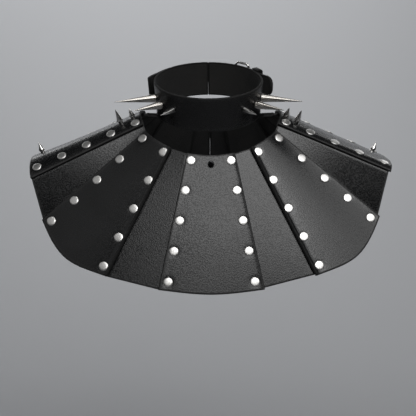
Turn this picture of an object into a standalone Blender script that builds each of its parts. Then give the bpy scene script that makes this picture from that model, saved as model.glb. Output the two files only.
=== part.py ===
"""Leather gorget: a shoulder mantle of riveted, overlapping panels and a spiked collar for the neck.

Metres, +Z up. The wearer faces -Y and has the left side at +X. The origin is the middle of the
mantle's neck opening, level with the two places where it bears on the shoulders.
"""
import math
from collections import namedtuple

import bmesh
import bpy
from mathutils import Matrix, Vector

# Leather and how its layers lie on each other
LEATHER = 0.003
LAYER_GAP = 0.0003
SEAM_AT_NECK = 0.012
SEAM_AT_HEM = 0.018
PANEL_BOW = 0.002

# Neck opening of the mantle, from the middle outwards and from the shoulders down
NECK_HALF_WIDTH = 0.0715
NECK_FRONT_DEPTH = 0.055
NECK_BACK_DEPTH = 0.053
NECK_FRONT_DROP = 0.0355
NECK_BACK_DROP = 0.012

# Hem of the mantle, measured in the same way
HEM_HALF_WIDTH = 0.188
HEM_FRONT_DEPTH = 0.113
HEM_BACK_DEPTH = 0.115
HEM_FRONT_DROP = 0.170
HEM_BACK_DROP = 0.144

# Sections of the mantle from the middle of the front to the ridge on the shoulder: where each one
# starts at the neck and ends at the hem, as shares of the sizes above, how much of the bow it has,
# how much higher its hem hangs on the wearer's left at the front, and how much lower on the back,
# which repeats the front's sections.
Section = namedtuple(
    "Section",
    "neck_across neck_out neck_down hem_across hem_out hem_down bow left_higher back_lower",
)
SECTIONS = (
    Section(0.000, 1.000, 1.000, 0.000, 1.000, 1.000, 0.3, 0.000, 0.000),
    Section(0.357, 0.980, 0.931, 0.294, 0.970, 0.975, 0.3, 0.000, 0.000),
    Section(0.467, 0.955, 0.879, 0.433, 0.940, 0.949, 0.3, 0.000, 0.000),
    Section(0.567, 0.915, 0.815, 0.570, 0.905, 0.907, 0.3, 0.000, 0.000),
    Section(0.790, 0.760, 0.614, 0.812, 0.760, 0.812, 0.3, 0.005, 0.000),
    Section(0.970, 0.520, 0.401, 0.953, 0.520, 0.611, 0.3, 0.015, 0.000),
    Section(1.000, 0.460, 0.240, 1.016, 0.430, 0.365, 0.1, 0.037, 0.000),
    Section(1.040, 0.240, 0.050, 1.030, 0.235, 0.284, -0.3, -0.018, 0.040),
    Section(1.055, 0.000, 0.000, 1.018, 0.000, 0.278, -0.5, -0.021, 0.000),
)

# Which section each seam between panels follows
FRONT_EDGE = 1
SIDE_INNER = 3
SIDE_OUTER = 5
SHOULDER_EDGE = 6
RIDGE = len(SECTIONS) - 1
BACK_CENTRE = 2 * RIDGE
SHOULDER_BACK = BACK_CENTRE - SHOULDER_EDGE
BACK_OUTER = BACK_CENTRE - SIDE_OUTER
BACK_INNER = BACK_CENTRE - SIDE_INNER
BACK_EDGE = BACK_CENTRE - FRONT_EDGE

# Steps between sections: the widest strip beside a seam, and one small enough to find a slope
WIDEST_STRIP = 0.85
LINE_STEP = 0.001

# How much shorter than the outer panels the inner ones are at the hem, on the wearer's two sides
GUSSET_SHORT_LEFT = 0.0022
GUSSET_SHORT_RIGHT = 0.0007

# Facets of the panels
LENGTH_FACETS = 5
FRONT_FACETS = 4
HALF_BACK_FACETS = 2
SIDE_FACETS = 4
SHOULDER_FACETS = 8
GUSSET_FACETS = 1

# Dome rivets, in a row along both long edges of each outer panel
RIVETS_PER_EDGE = 5
RIVET_RADIUS = 0.0050
RIVET_HEIGHT = 0.0022
RIVET_FROM_NECK = 0.0080
RIVET_FROM_HEM = 0.0090
RIVET_SIDES = 8
RIVET_RINGS = 4

# Small spikes on the mantle: the line each stands on, how far from which edge, and its height
SPIKE_RADIUS = 0.0035
SPIKE_SIDES = 12
SPIKE_TIP = 0.08
MantleSpike = namedtuple("MantleSpike", "name line edge away height")
SHOULDER_SPIKES = (
    MantleSpike("shoulder_spike_neck_r", -7.15, "neck", 0.009, 0.0115),
    MantleSpike("shoulder_spike_inner_r", -7.05, "neck", 0.023, 0.0175),
    MantleSpike("shoulder_spike_outer_r", -7.7, "hem", 0.010, 0.0115),
    MantleSpike("shoulder_spike_neck_l", 7.05, "neck", 0.006, 0.0115),
    MantleSpike("shoulder_spike_inner_l", 6.95, "neck", 0.019, 0.0155),
    MantleSpike("shoulder_spike_outer_l", 8.8, "hem", 0.014, 0.0105),
)
FRONT_SPIKE = MantleSpike("front_spike", 0, "neck", 0.010, 0.013)

# Closure at the middle of the back: two straps, each between two rivets of the row beside it
BACK_SLIT = 0.0006
CLOSURE_HALF_LENGTH = 0.030
CLOSURE_WIDTH = 0.017
CLOSURE_CLEARANCE = 0.0008
CLOSURE_FACETS = 6
Closure = namedtuple("Closure", "name after_rivet")
CLOSURES = (Closure("upper", 1), Closure("lower", 4))

# Plain buckles
BUCKLE_THICKNESS = 0.0025
BUCKLE_BAR = 0.003
BUCKLE_LENGTH = 0.020
BUCKLE_SIDE_ROOM = 0.001
PRONG_WIDTH = 0.0025

# Neck collar: a band round the neck, leaning forward and a little wider at its upper edge
COLLAR_CENTRE = Vector((-0.002, 0.0, 0.0195))
COLLAR_LEAN = math.radians(12.5)
COLLAR_RADIUS = 0.0580
COLLAR_FLARE = 0.0013
COLLAR_HEIGHT = 0.038
COLLAR_SLIT = math.radians(0.6)
COLLAR_STEPS = 40

# Closing strap of the collar, outside the band round the back and above its middle, with both
# ends standing off it. Angles run from the front towards the wearer's left.
STRAP_WIDTH = 0.022
STRAP_START = math.radians(-100)
STRAP_MEETS_BAND = math.radians(-122)
STRAP_LEAVES_BAND = math.radians(-245)
STRAP_END = math.radians(-264)
STRAP_RISE = 0.0060
START_LIFT = 0.004
END_LIFT = 0.008
STRAP_TIP = math.radians(9)
STRAP_STEPS = 34
COLLAR_BUCKLE_ANGLE = math.radians(-216)
KEEPER_ANGLE = math.radians(-239)
KEEPER_WIDTH = 0.010
KEEPER_LEATHER = 0.002
STRAP_CLEARANCE = 0.0015

# Long spikes of the collar, the same on both sides, and how far above its middle each one stands
CollarSpike = namedtuple("CollarSpike", "name angle rise length radius")
COLLAR_SPIKES = (
    CollarSpike("front", math.radians(40), 0.0015, 0.019, 0.0037),
    CollarSpike("middle", math.radians(59.5), 0.0015, 0.033, 0.0047),
    CollarSpike("rear", math.radians(75.5), 0.0035, 0.0455, 0.0047),
)
COLLAR_SPIKE_SIDES = 14

# Colours and finishes
BLACK_LEATHER = ("black_leather", (0.022, 0.022, 0.023), 0.48, 0.0)
BLACK_STRAP = ("black_strap_leather", (0.012, 0.012, 0.013), 0.42, 0.0)
NICKEL = ("polished_nickel", (0.80, 0.79, 0.77), 0.16, 1.0)
DARK_SPIKE = ("dark_nickel", (0.10, 0.10, 0.11), 0.22, 1.0)


def clear_scene():
    for old in list(bpy.data.objects):
        bpy.data.objects.remove(old, do_unlink=True)


def new_collection(name):
    collection = bpy.data.collections.new(name)
    bpy.context.scene.collection.children.link(collection)
    return collection


def new_material(name, colour, roughness, metallic):
    material = bpy.data.materials.new(name)
    material.use_nodes = True
    shader = material.node_tree.nodes["Principled BSDF"]
    shader.inputs["Base Color"].default_value = (*colour, 1.0)
    shader.inputs["Roughness"].default_value = roughness
    shader.inputs["Metallic"].default_value = metallic
    return material


def new_object(name, bm, material, collection):
    mesh = bpy.data.meshes.new(name)
    bm.to_mesh(mesh)
    bm.free()
    mesh.materials.append(material)
    obj = bpy.data.objects.new(name, mesh)
    collection.objects.link(obj)
    return obj


def thicken(obj, thickness, offset):
    """Give an open sheet its wall: offset 1 builds it outwards, -1 inwards."""
    solidify = obj.modifiers.new("wall", "SOLIDIFY")
    solidify.thickness = thickness
    solidify.offset = offset
    solidify.use_even_offset = True


def combine(obj, other, operation):
    other.hide_render = True
    other.display_type = "WIRE"
    boolean = obj.modifiers.new(operation.lower(), "BOOLEAN")
    boolean.operation = operation
    boolean.solver = "EXACT"
    boolean.material_mode = "TRANSFER"
    boolean.object = other


def side_name(side):
    return "l" if side > 0 else "r"


# The surface that the mantle's panels are laid on. A place on it is a line, counted in sections
# from the middle of the front, and a share of the way from neck to hem. Lines above zero lie on
# the wearer's left, below zero on the right, and past the ridge on the back.
def section_ends(row):
    """Neck end and hem end of a section."""
    row = (row + BACK_CENTRE) % (2 * BACK_CENTRE) - BACK_CENTRE
    side = -1 if row < 0 else 1
    front = abs(row) <= RIDGE
    section = section_at(row)
    neck_depth = -NECK_FRONT_DEPTH if front else NECK_BACK_DEPTH
    neck_drop = NECK_FRONT_DROP if front else NECK_BACK_DROP
    hem_depth = -HEM_FRONT_DEPTH if front else HEM_BACK_DEPTH
    ridge_drop = SECTIONS[RIDGE].hem_down * HEM_FRONT_DROP
    hem_drop = section.hem_down * HEM_FRONT_DROP
    if not front:
        # Front and back share the ridge, and the back hem hangs less far below it
        back_scale = (HEM_BACK_DROP - ridge_drop) / (HEM_FRONT_DROP - ridge_drop)
        hem_drop = ridge_drop + (hem_drop - ridge_drop) * back_scale
        hem_drop += section.back_lower * HEM_FRONT_DROP
    if side > 0 and front:
        hem_drop -= section.left_higher * HEM_FRONT_DROP
    neck = Vector((
        side * section.neck_across * NECK_HALF_WIDTH,
        section.neck_out * neck_depth,
        -section.neck_down * neck_drop,
    ))
    hem = Vector((
        side * section.hem_across * HEM_HALF_WIDTH,
        section.hem_out * hem_depth,
        -hem_drop,
    ))
    return neck, hem


def section_at(row):
    """The table's row for a section, on any side and on the front or the back."""
    around = abs((row + BACK_CENTRE) % (2 * BACK_CENTRE) - BACK_CENTRE)
    return SECTIONS[min(around, BACK_CENTRE - around)]


def smooth_between(before, start, end, after, share):
    """A smooth curve through start and end, whose slopes look one point further each way."""
    length = (end - start).length
    slope_in = (end - before) / ((start - before).length + length) * length
    slope_out = (after - start) / ((after - end).length + length) * length
    square = share * share
    cube = square * share
    return (
        (2 * cube - 3 * square + 1) * start
        + (cube - 2 * square + share) * slope_in
        + (3 * square - 2 * cube) * end
        + (cube - square) * slope_out
    )


def flat_point(line, share):
    """Point on the straight ruling at a line, share of the way to the hem."""
    row = math.floor(line)
    rows = [section_ends(row + step) for step in (-1, 0, 1, 2)]
    neck = smooth_between(*[ends[0] for ends in rows], line - row)
    hem = smooth_between(*[ends[1] for ends in rows], line - row)
    return neck.lerp(hem, share)


def bow_at(line, share):
    row = math.floor(line)
    here = section_at(row).bow
    return PANEL_BOW * (here + (section_at(row + 1).bow - here) * (line - row)) * 4 * share * (1 - share)


def along_hem(line, share):
    """How the surface runs round the wearer, per section."""
    ahead = flat_point(line + LINE_STEP, share)
    behind = flat_point(line - LINE_STEP, share)
    return (ahead - behind) / (2 * LINE_STEP)


def outward(line, share):
    down = flat_point(line, 1.0) - flat_point(line, 0.0)
    return down.cross(along_hem(line, share)).normalized()


def mantle_point(line, share, lift):
    """Point on the gently bowed surface, raised off it by lift."""
    return flat_point(line, share) + outward(line, share) * (bow_at(line, share) + lift)


def beside(line, way, share):
    """The line where a seam's strip ends, inside the outer panel that lies that way of it."""
    overlap = SEAM_AT_NECK + (SEAM_AT_HEM - SEAM_AT_NECK) * share
    step = flat_point(line + way * LINE_STEP, share) - flat_point(line, share)
    return line + way * min(overlap / step.length * LINE_STEP, WIDEST_STRIP)


def ruling_length(line):
    return (flat_point(line, 1.0) - flat_point(line, 0.0)).length


def evenly(start, end, pieces):
    return [start + (end - start) * i / pieces for i in range(pieces + 1)]


def over_lines(first, last, facets):
    """Rulings of an outer panel: a straight strip along each edge and an even middle."""
    def lines(share):
        middle = evenly(beside(first, 1, share), beside(last, -1, share), facets)
        return [first, *middle, last]
    return lines


def gusset_lines(first, last, facets):
    """Rulings of an inner panel: flat between its seams, and the overlap under each neighbour."""
    def lines(share):
        return [beside(first, -1, share), *evenly(first, last, facets), beside(last, 1, share)]
    return lines


def half_back_lines(side):
    """Rulings of one half of the back's middle panel, from its riveted edge to the slit."""
    edge = side * BACK_EDGE

    def lines(share):
        half_slit = 0.5 * BACK_SLIT / along_hem(BACK_CENTRE, share).length
        slit = side * (BACK_CENTRE - half_slit)
        places = [edge, *evenly(beside(edge, side, share), slit, HALF_BACK_FACETS)]
        return places[::side]
    return lines


def lay_sheet(lines, lift, shares, short=0.0):
    """An open sheet on the mantle's surface. Layers that touch split their faces alike.

    A sheet can end short of the hem by a length.
    """
    bm = bmesh.new()
    rows = []
    for share in shares:
        row = []
        for line in lines(share):
            reach = min(share, 1 - short / ruling_length(line))
            row.append(bm.verts.new(mantle_point(line, reach, lift)))
        rows.append(row)
    for upper, lower in zip(rows, rows[1:]):
        for i in range(len(upper) - 1):
            bm.faces.new((upper[i], lower[i], lower[i + 1]))
            bm.faces.new((upper[i], lower[i + 1], upper[i + 1]))
    return bm


def frame_on(origin, outwards, along):
    """A frame whose Z points outwards and whose X follows along."""
    across = outwards.cross(along).normalized()
    straight = across.cross(outwards).normalized()
    columns = (straight, across, outwards, origin)
    return Matrix([[column[i] for column in columns] for i in range(3)] + [[0, 0, 0, 1]])


def surface_frame(line, share, lift):
    return frame_on(mantle_point(line, share, lift), outward(line, share), along_hem(line, share))


# Rivets
def rivet_share(line, number):
    """Where a rivet of a row lies between neck and hem. Numbers count from 1 and may be halves."""
    length = ruling_length(line)
    run = length - RIVET_FROM_NECK - RIVET_FROM_HEM
    return (RIVET_FROM_NECK + run * (number - 1) / (RIVETS_PER_EDGE - 1)) / length


def rivet_frame(line, way, number):
    """Frame of a rivet in the middle of the straight strip that lies that way of a seam."""
    share = rivet_share(line, number)
    edge_point = mantle_point(line, share, LEATHER)
    inner_point = mantle_point(beside(line, way, share), share, LEATHER)
    down = mantle_point(line, 1.0, LEATHER) - mantle_point(line, 0.0, LEATHER)
    along = (inner_point - edge_point) * way
    return frame_on(edge_point.lerp(inner_point, 0.5), down.cross(along).normalized(), along)


def rivet_row(line, way):
    return [rivet_frame(line, way, number) for number in range(1, RIVETS_PER_EDGE + 1)]


def rivet_domes(name, frames, material, collection):
    bm = bmesh.new()
    dome = Matrix.Diagonal((1, 1, RIVET_HEIGHT / RIVET_RADIUS, 1))
    for frame in frames:
        bmesh.ops.create_uvsphere(
            bm,
            u_segments=RIVET_SIDES,
            v_segments=RIVET_RINGS,
            radius=RIVET_RADIUS,
            matrix=frame @ dome,
        )
    return new_object(name, bm, material, collection)


# Panels of the mantle
def whole_length():
    return evenly(0.0, 1.0, LENGTH_FACETS)


def over_panel(name, lines, rivets, leather, nickel, parts, cutters):
    """An outer panel with its rivets set in it."""
    panel = new_object(name, lay_sheet(lines, 0.0, whole_length()), leather, parts)
    panel.data.materials.append(nickel)
    thicken(panel, LEATHER, 1)
    combine(panel, rivet_domes(name + "_rivets", rivets, nickel, cutters), "UNION")


def gusset(name, first, last, leather, parts):
    short = GUSSET_SHORT_LEFT if first > 0 else GUSSET_SHORT_RIGHT
    bm = lay_sheet(gusset_lines(first, last, GUSSET_FACETS), -LAYER_GAP, whole_length(), short)
    panel = new_object(name, bm, leather, parts)
    thicken(panel, LEATHER, -1)


def whole_panel(name, first, last, facets, leather, nickel, parts, cutters):
    """An outer panel with a riveted edge on both sides."""
    rivets = rivet_row(first, 1) + rivet_row(last, -1)
    over_panel(name, over_lines(first, last, facets), rivets, leather, nickel, parts, cutters)


def mantle_side(side, leather, nickel, parts, cutters):
    """All panels of one side, from the front round the shoulder to the back."""
    end = side_name(side)
    panels = (
        ("side_panel_", SIDE_INNER, SIDE_OUTER, SIDE_FACETS),
        ("shoulder_panel_", SHOULDER_EDGE, SHOULDER_BACK, SHOULDER_FACETS),
        ("back_side_panel_", BACK_OUTER, BACK_INNER, SIDE_FACETS),
    )
    for name, near, far, facets in panels:
        first, last = sorted((side * near, side * far))
        whole_panel(name + end, first, last, facets, leather, nickel, parts, cutters)
    rivets = rivet_row(side * BACK_EDGE, side)
    over_panel("back_panel_" + end, half_back_lines(side), rivets, leather, nickel, parts, cutters)
    gussets = (
        ("front_gusset_", FRONT_EDGE, SIDE_INNER),
        ("shoulder_front_gusset_", SIDE_OUTER, SHOULDER_EDGE),
        ("shoulder_back_gusset_", SHOULDER_BACK, BACK_OUTER),
        ("back_gusset_", BACK_INNER, BACK_EDGE),
    )
    for name, near, far in gussets:
        first, last = sorted((side * near, side * far))
        gusset(name + end, first, last, leather, parts)


# Spikes
def cone(name, radius, length, sides, material, collection):
    """A cone standing on its base at the object's origin, with a small blunt tip."""
    bm = bmesh.new()
    bmesh.ops.create_cone(
        bm,
        cap_ends=True,
        segments=sides,
        radius1=radius,
        radius2=radius * SPIKE_TIP,
        depth=length,
        matrix=Matrix.Translation((0, 0, length / 2)),
    )
    return new_object(name, bm, material, collection)


def mantle_spike(place, material, parts):
    away = place.away / ruling_length(place.line)
    share = away if place.edge == "neck" else 1 - away
    spike = cone(place.name, SPIKE_RADIUS, place.height, SPIKE_SIDES, material, parts)
    spike.matrix_world = surface_frame(place.line, share, LEATHER + LAYER_GAP)


# Closure at the middle of the back
def closure_lines(share):
    reach = CLOSURE_HALF_LENGTH / along_hem(BACK_CENTRE, share).length
    return evenly(BACK_CENTRE - reach, BACK_CENTRE + reach, CLOSURE_FACETS)


def back_closures(leather, metal, parts, cutters):
    length = ruling_length(BACK_CENTRE)
    for closure in CLOSURES:
        middle = rivet_share(BACK_EDGE, closure.after_rivet + 0.5)
        half = 0.5 * CLOSURE_WIDTH / length
        bm = lay_sheet(closure_lines, LEATHER + CLOSURE_CLEARANCE, (middle - half, middle + half))
        strap = new_object("back_strap_" + closure.name, bm, leather, parts)
        thicken(strap, LEATHER, 1)
        lift = 2 * LEATHER + 2 * CLOSURE_CLEARANCE
        frame = surface_frame(BACK_CENTRE, middle, lift)
        buckle("back_buckle_" + closure.name, CLOSURE_WIDTH, frame, metal, parts, cutters)


def box(name, size, centre, material, collection):
    bm = bmesh.new()
    place = Matrix.Translation(centre) @ Matrix.Diagonal((*size, 1))
    bmesh.ops.create_cube(bm, size=1, matrix=place)
    return new_object(name, bm, material, collection)


def buckle(name, strap_width, frame, material, parts, cutters):
    """A plain buckle on its strap: X runs along the strap and Z away from it."""
    middle = Vector((0, 0, BUCKLE_THICKNESS / 2))
    inner_width = strap_width + 2 * BUCKLE_SIDE_ROOM
    outer = (BUCKLE_LENGTH, inner_width + 2 * BUCKLE_BAR, BUCKLE_THICKNESS)
    ring = box(name, outer, middle, material, parts)
    window_size = (BUCKLE_LENGTH - 2 * BUCKLE_BAR, inner_width, 2 * BUCKLE_THICKNESS)
    window = box(name + "_window", window_size, middle, material, cutters)
    prong_size = (BUCKLE_LENGTH - BUCKLE_BAR, PRONG_WIDTH, BUCKLE_THICKNESS / 2)
    prong = box(name + "_prong", prong_size, middle, material, cutters)
    combine(ring, window, "DIFFERENCE")
    combine(ring, prong, "UNION")
    for obj in (ring, window, prong):
        obj.matrix_world = frame
    return ring


# Neck collar, modelled upright about its own centre
def ring_point(angle, radius, height):
    return Vector((radius * math.sin(angle), -radius * math.cos(angle), height))


def band_radius(height):
    """Outside of the band, wider towards its upper edge."""
    return COLLAR_RADIUS + COLLAR_FLARE * height / (COLLAR_HEIGHT / 2)


def ring_sheet(angles, lift_at, half_height_at, rise):
    """An open strip round the neck, facing outwards, raised off the band and above its middle."""
    bm = bmesh.new()
    columns = []
    for angle in angles:
        half = half_height_at(angle)
        lift = lift_at(angle)
        heights = (rise - half, rise + half)
        ends = [ring_point(angle, band_radius(height) + lift, height) for height in heights]
        columns.append([bm.verts.new(point) for point in ends])
    for left, right in zip(columns, columns[1:]):
        bm.faces.new((left[0], right[0], right[1], left[1]))
    bm.normal_update()
    first = bm.faces[:][0]
    if first.normal.dot(Vector((first.calc_center_median().xy.to_3d()))) < 0:
        bmesh.ops.reverse_faces(bm, faces=bm.faces)
    return bm


def strap_lift(angle):
    """The strap lies on the band, and both of its ends stand off it."""
    stand_off = 0.0
    if angle > STRAP_MEETS_BAND:
        share = (angle - STRAP_MEETS_BAND) / (STRAP_START - STRAP_MEETS_BAND)
        stand_off = START_LIFT * math.sin(share * math.pi / 2) ** 2
    if angle < STRAP_LEAVES_BAND:
        share = (angle - STRAP_LEAVES_BAND) / (STRAP_END - STRAP_LEAVES_BAND)
        stand_off = END_LIFT * math.sin(share * math.pi / 2) ** 2
    return STRAP_CLEARANCE + stand_off


def strap_half_width(angle):
    """Full width up to the rounded tip."""
    into_tip = max(0.0, 1 - (angle - STRAP_END) / STRAP_TIP)
    return STRAP_WIDTH / 2 * math.sqrt(max(1 - into_tip ** 2, 0.1))


def collar_place():
    """The empty that all pieces of the collar hang on: it leans the ring forward."""
    place = bpy.data.objects.new("collar_place", None)
    place.location = COLLAR_CENTRE
    place.rotation_euler = (COLLAR_LEAN, 0, 0)
    return place


def radial_frame(angle, radius, height):
    out = ring_point(angle, 1.0, 0.0)
    return frame_on(ring_point(angle, radius, height), out, Vector((-out.y, out.x, 0.0)))


def hang(obj, place, frame):
    obj.parent = place
    obj.matrix_local = frame


def collar_band(leather, parts, place):
    angles = evenly(COLLAR_SLIT / 2 - math.pi, math.pi - COLLAR_SLIT / 2, COLLAR_STEPS)
    bm = ring_sheet(angles, lambda angle: 0.0, lambda angle: COLLAR_HEIGHT / 2, 0.0)
    band = new_object("collar_band", bm, leather, parts)
    thicken(band, LEATHER, -1)
    hang(band, place, Matrix.Identity(4))


def collar_strap(leather, parts, place):
    angles = evenly(STRAP_START, STRAP_END, STRAP_STEPS)
    bm = ring_sheet(angles, strap_lift, strap_half_width, STRAP_RISE)
    strap = new_object("collar_strap", bm, leather, parts)
    thicken(strap, LEATHER, 1)
    hang(strap, place, Matrix.Identity(4))


def collar_keeper(leather, parts, cutters, place):
    """A loop over the strap, open towards the band."""
    room = STRAP_WIDTH + 2 * BUCKLE_SIDE_ROOM
    height = STRAP_CLEARANCE + LEATHER + STRAP_CLEARANCE + KEEPER_LEATHER
    outer = (KEEPER_WIDTH, room + 2 * KEEPER_LEATHER, height)
    inner = (2 * KEEPER_WIDTH, room, height)
    loop = box("collar_keeper", outer, Vector((0, 0, height / 2)), leather, parts)
    tunnel_centre = Vector((0, 0, height / 2 - KEEPER_LEATHER))
    tunnel = box("collar_keeper_tunnel", inner, tunnel_centre, leather, cutters)
    combine(loop, tunnel, "DIFFERENCE")
    for obj in (loop, tunnel):
        seat = COLLAR_RADIUS + COLLAR_FLARE + LAYER_GAP
        hang(obj, place, radial_frame(KEEPER_ANGLE, seat, STRAP_RISE))


def collar_buckle(metal, parts, cutters, place):
    strap_outside = COLLAR_RADIUS + COLLAR_FLARE + STRAP_CLEARANCE + LEATHER + LAYER_GAP
    frame = place.matrix_basis @ radial_frame(COLLAR_BUCKLE_ANGLE, strap_outside, STRAP_RISE)
    buckle("collar_buckle", STRAP_WIDTH, frame, metal, parts, cutters)


def collar_spikes(metal, parts, place):
    for side in (1, -1):
        for size in COLLAR_SPIKES:
            name = f"collar_spike_{size.name}_{side_name(side)}"
            spike = cone(name, size.radius, size.length, COLLAR_SPIKE_SIDES, metal, parts)
            seat = band_radius(size.rise + size.radius) + LAYER_GAP
            hang(spike, place, radial_frame(side * size.angle, seat, size.rise))


clear_scene()
gorget = new_collection("leather_gorget")
cutting = new_collection("cutters")
leather = new_material(*BLACK_LEATHER)
strap_leather = new_material(*BLACK_STRAP)
nickel = new_material(*NICKEL)
dark_nickel = new_material(*DARK_SPIKE)

whole_panel("front_panel", -FRONT_EDGE, FRONT_EDGE, FRONT_FACETS, leather, nickel, gorget, cutting)
for wearer_side in (1, -1):
    mantle_side(wearer_side, leather, nickel, gorget, cutting)
mantle_spike(FRONT_SPIKE, dark_nickel, gorget)
for shoulder_spike in SHOULDER_SPIKES:
    mantle_spike(shoulder_spike, nickel, gorget)
back_closures(strap_leather, nickel, gorget, cutting)

collar = collar_place()
gorget.objects.link(collar)
collar_band(strap_leather, gorget, collar)
collar_strap(strap_leather, gorget, collar)
collar_keeper(strap_leather, gorget, cutting, collar)
collar_buckle(nickel, gorget, cutting, collar)
collar_spikes(nickel, gorget, collar)
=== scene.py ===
import math
from collections import namedtuple
from functools import lru_cache

import bpy
from mathutils import Matrix, Vector, kdtree, noise


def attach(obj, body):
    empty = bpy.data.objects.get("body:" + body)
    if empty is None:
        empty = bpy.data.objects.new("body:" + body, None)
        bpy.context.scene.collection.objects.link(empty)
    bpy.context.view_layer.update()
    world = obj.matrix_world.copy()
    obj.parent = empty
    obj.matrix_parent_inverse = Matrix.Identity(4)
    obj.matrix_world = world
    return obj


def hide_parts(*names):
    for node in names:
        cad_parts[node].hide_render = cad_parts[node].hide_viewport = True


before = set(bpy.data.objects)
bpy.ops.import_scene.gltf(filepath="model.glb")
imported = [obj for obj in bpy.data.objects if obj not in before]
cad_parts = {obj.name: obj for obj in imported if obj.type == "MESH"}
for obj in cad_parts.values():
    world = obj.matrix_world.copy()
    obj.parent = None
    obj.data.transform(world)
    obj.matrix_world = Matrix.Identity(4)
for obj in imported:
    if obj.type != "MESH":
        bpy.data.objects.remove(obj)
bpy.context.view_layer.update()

# The view: a camera a little over a metre in front of the chest, looking slightly down on the
# gorget, with the small tilt that the photograph has.
PICTURE_SIZE = 416
FOCAL_PIXELS = 1074
SENSOR = 36.0
VIEW_TARGET = Vector((-0.0029, 0.0, -0.106))
VIEW_DISTANCE = 1.2
VIEW_AZIMUTH = math.radians(-0.3)
VIEW_ELEVATION = math.radians(14)
VIEW_TILT = math.radians(-0.14)

view_turn = (
    Matrix.Rotation(VIEW_AZIMUTH, 4, "Z")
    @ Matrix.Rotation(math.pi / 2 - VIEW_ELEVATION, 4, "X")
    @ Matrix.Rotation(VIEW_TILT, 4, "Z")
)
view_place = VIEW_TARGET + view_turn @ Vector((0, 0, VIEW_DISTANCE))
bpy.ops.object.camera_add()
camera = bpy.context.object
camera.matrix_world = Matrix.Translation(view_place) @ view_turn
camera.data.sensor_width = SENSOR
camera.data.lens = SENSOR * FOCAL_PIXELS / PICTURE_SIZE
bpy.context.scene.camera = camera

# The mantle's form: cowhide panels about 3 mm thick hang over the shoulders like the ribs of a
# fan. Each rib line runs straight from the neck edge to the hem, and the leather follows a smooth
# curve from rib to rib.
LEATHER = 0.003
LAYER_GAP = 0.0003
SEAM_AT_NECK = 0.012
SEAM_AT_HEM = 0.018
PANEL_BOW = 0.002

NECK_HALF_WIDTH = 0.0715
NECK_FRONT_DEPTH = 0.055
NECK_BACK_DEPTH = 0.053
NECK_FRONT_DROP = 0.0355
NECK_BACK_DROP = 0.012

HEM_HALF_WIDTH = 0.188
HEM_FRONT_DEPTH = 0.113
HEM_BACK_DEPTH = 0.115
HEM_FRONT_DROP = 0.170
HEM_BACK_DROP = 0.144

Section = namedtuple(
    "Section",
    "neck_across neck_out neck_down hem_across hem_out hem_down bow left_higher back_lower",
)
SECTIONS = (
    Section(0.000, 1.000, 1.000, 0.000, 1.000, 1.000, 0.05, 0.000, 0.000),
    Section(0.357, 0.980, 0.931, 0.294, 0.970, 0.975, 0.05, 0.000, 0.000),
    Section(0.467, 0.955, 0.879, 0.433, 0.940, 0.949, 0.05, 0.000, 0.000),
    Section(0.567, 0.915, 0.815, 0.570, 0.905, 0.907, 0.05, 0.000, 0.000),
    Section(0.790, 0.760, 0.614, 0.812, 0.760, 0.812, 0.3, 0.005, 0.000),
    Section(0.970, 0.520, 0.401, 0.953, 0.520, 0.611, 0.3, 0.015, 0.000),
    Section(1.000, 0.460, 0.240, 1.016, 0.430, 0.365, 0.1, 0.037, 0.000),
    Section(1.040, 0.240, 0.050, 1.030, 0.235, 0.284, -0.3, -0.018, 0.040),
    Section(1.055, 0.000, 0.000, 1.018, 0.000, 0.278, -0.5, -0.021, 0.000),
)
FRONT_EDGE = 1
SIDE_INNER = 3
SIDE_OUTER = 5
SHOULDER_EDGE = 6
RIDGE = len(SECTIONS) - 1
BACK_CENTRE = 2 * RIDGE
SHOULDER_BACK = BACK_CENTRE - SHOULDER_EDGE
BACK_OUTER = BACK_CENTRE - SIDE_OUTER
BACK_INNER = BACK_CENTRE - SIDE_INNER
BACK_EDGE = BACK_CENTRE - FRONT_EDGE
WIDEST_STRIP = 0.85
LINE_STEP = 0.001


@lru_cache(maxsize=None)
def section_ends(row):
    """Neck and hem end of a rib. The wearer's left is above zero, the back past the ridge."""
    row = (row + BACK_CENTRE) % (2 * BACK_CENTRE) - BACK_CENTRE
    side = -1 if row < 0 else 1
    front = abs(row) <= RIDGE
    section = section_at(row)
    ridge_drop = SECTIONS[RIDGE].hem_down * HEM_FRONT_DROP
    hem_drop = section.hem_down * HEM_FRONT_DROP
    if not front:
        back_scale = (HEM_BACK_DROP - ridge_drop) / (HEM_FRONT_DROP - ridge_drop)
        hem_drop = ridge_drop + (hem_drop - ridge_drop) * back_scale
        hem_drop += section.back_lower * HEM_FRONT_DROP
    if side > 0 and front:
        hem_drop -= section.left_higher * HEM_FRONT_DROP
    neck = Vector((
        side * section.neck_across * NECK_HALF_WIDTH,
        section.neck_out * (-NECK_FRONT_DEPTH if front else NECK_BACK_DEPTH),
        -section.neck_down * (NECK_FRONT_DROP if front else NECK_BACK_DROP),
    ))
    hem = Vector((
        side * section.hem_across * HEM_HALF_WIDTH,
        section.hem_out * (-HEM_FRONT_DEPTH if front else HEM_BACK_DEPTH),
        -hem_drop,
    ))
    return neck, hem


def section_at(row):
    """The section that a rib repeats: the back mirrors the front, the right mirrors the left."""
    around = abs((row + BACK_CENTRE) % (2 * BACK_CENTRE) - BACK_CENTRE)
    return SECTIONS[min(around, BACK_CENTRE - around)]


def smooth_between(before, start, end, after, share):
    """A place on the smooth curve from start to end, with its slopes from the points beyond."""
    length = (end - start).length
    slope_in = (end - before) / ((start - before).length + length) * length
    slope_out = (after - start) / ((after - end).length + length) * length
    square = share * share
    cube = square * share
    return (
        (2 * cube - 3 * square + 1) * start
        + (cube - 2 * square + share) * slope_in
        + (3 * square - 2 * cube) * end
        + (cube - square) * slope_out
    )


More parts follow.
